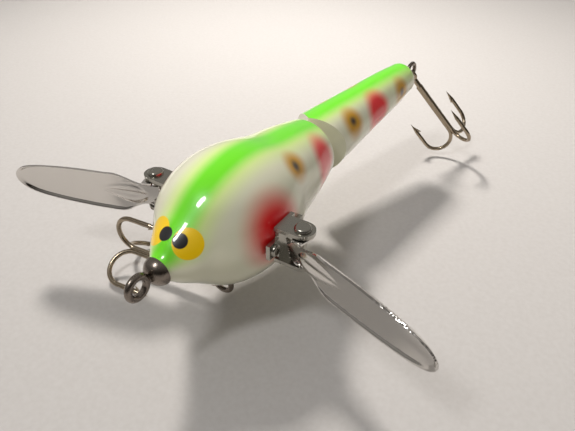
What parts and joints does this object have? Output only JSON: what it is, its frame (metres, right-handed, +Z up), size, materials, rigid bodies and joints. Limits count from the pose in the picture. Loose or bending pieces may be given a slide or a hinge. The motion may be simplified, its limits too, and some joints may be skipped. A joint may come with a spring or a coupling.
{
  "type": "jointed winged crawler lure",
  "caption": "Two-section jointed topwater fishing lure with folding metal wings on side brackets, screw eyes and a belly and a tail treble hook.",
  "frame": {"origin": "centre of the line-tie ring at the nose", "axes": "+Y from nose to tail, +Z up, +X to the lure's left along the line-tie ring's hole"},
  "size_m": [0.1046, 0.1313, 0.0376],
  "materials": {
    "painted_body": "gloss airbrushed paint under clear coat",
    "dark_nickel": "polished black nickel",
    "bright_nickel": "bright nickel plate",
    "polished_wing": "mirror polished sheet",
    "hook_wire": "tinned hook steel",
    "lead": "dull cast lead"
  },
  "bodies": {
    "front": {"front_body": "painted_body", "nose_cup": "dark_nickel", "line_tie_eye": "dark_nickel", "belly_ballast": "lead", "belly_cup": "bright_nickel", "belly_hook_eye": "dark_nickel", "front_joint_eye": "dark_nickel", "left_wing_bracket": "bright_nickel", "right_wing_bracket": "bright_nickel", "left_bracket_screws": "bright_nickel", "right_bracket_screws": "bright_nickel", "left_wing_pin": "bright_nickel", "right_wing_pin": "bright_nickel"},
    "tail": {"tail_body": "painted_body", "rear_joint_eye": "dark_nickel", "tail_cup": "dark_nickel", "tail_hook_eye": "dark_nickel"},
    "left_wing": {"left_wing": "polished_wing"},
    "right_wing": {"right_wing": "polished_wing"},
    "belly_hook": {"belly_treble_hook": "hook_wire"},
    "tail_hook": {"tail_treble_hook": "hook_wire"}
  },
  "joints": [
    {"name": "left_wing_fold", "type": "hinge", "parent": "front", "child": "left_wing", "pos_m": [0.0193, 0.0261, 0], "axis": [0, 0, 1], "range_deg": [-48, 0]},
    {"name": "right_wing_fold", "type": "hinge", "parent": "front", "child": "right_wing", "pos_m": [-0.0193, 0.0261, 0], "axis": [0, 0, -1], "range_deg": [-48, 0]},
    {"name": "tail_swing", "type": "hinge", "parent": "front", "child": "tail", "pos_m": [0, 0.0616, 0], "axis": [0, 0, 1], "range_deg": [-19, 36]},
    {"name": "belly_hook_swing", "type": "hinge", "parent": "front", "child": "belly_hook", "pos_m": [0, 0.0235, -0.0174], "axis": [0, -1, 0], "range_deg": [0, 160]},
    {"name": "tail_hook_swing", "type": "hinge", "parent": "tail", "child": "tail_hook", "pos_m": [0.00781, 0.11327, 0.0043], "axis": [0.1369, 0.9073, 0.3975], "range_deg": [-35, 80]}
  ]
}
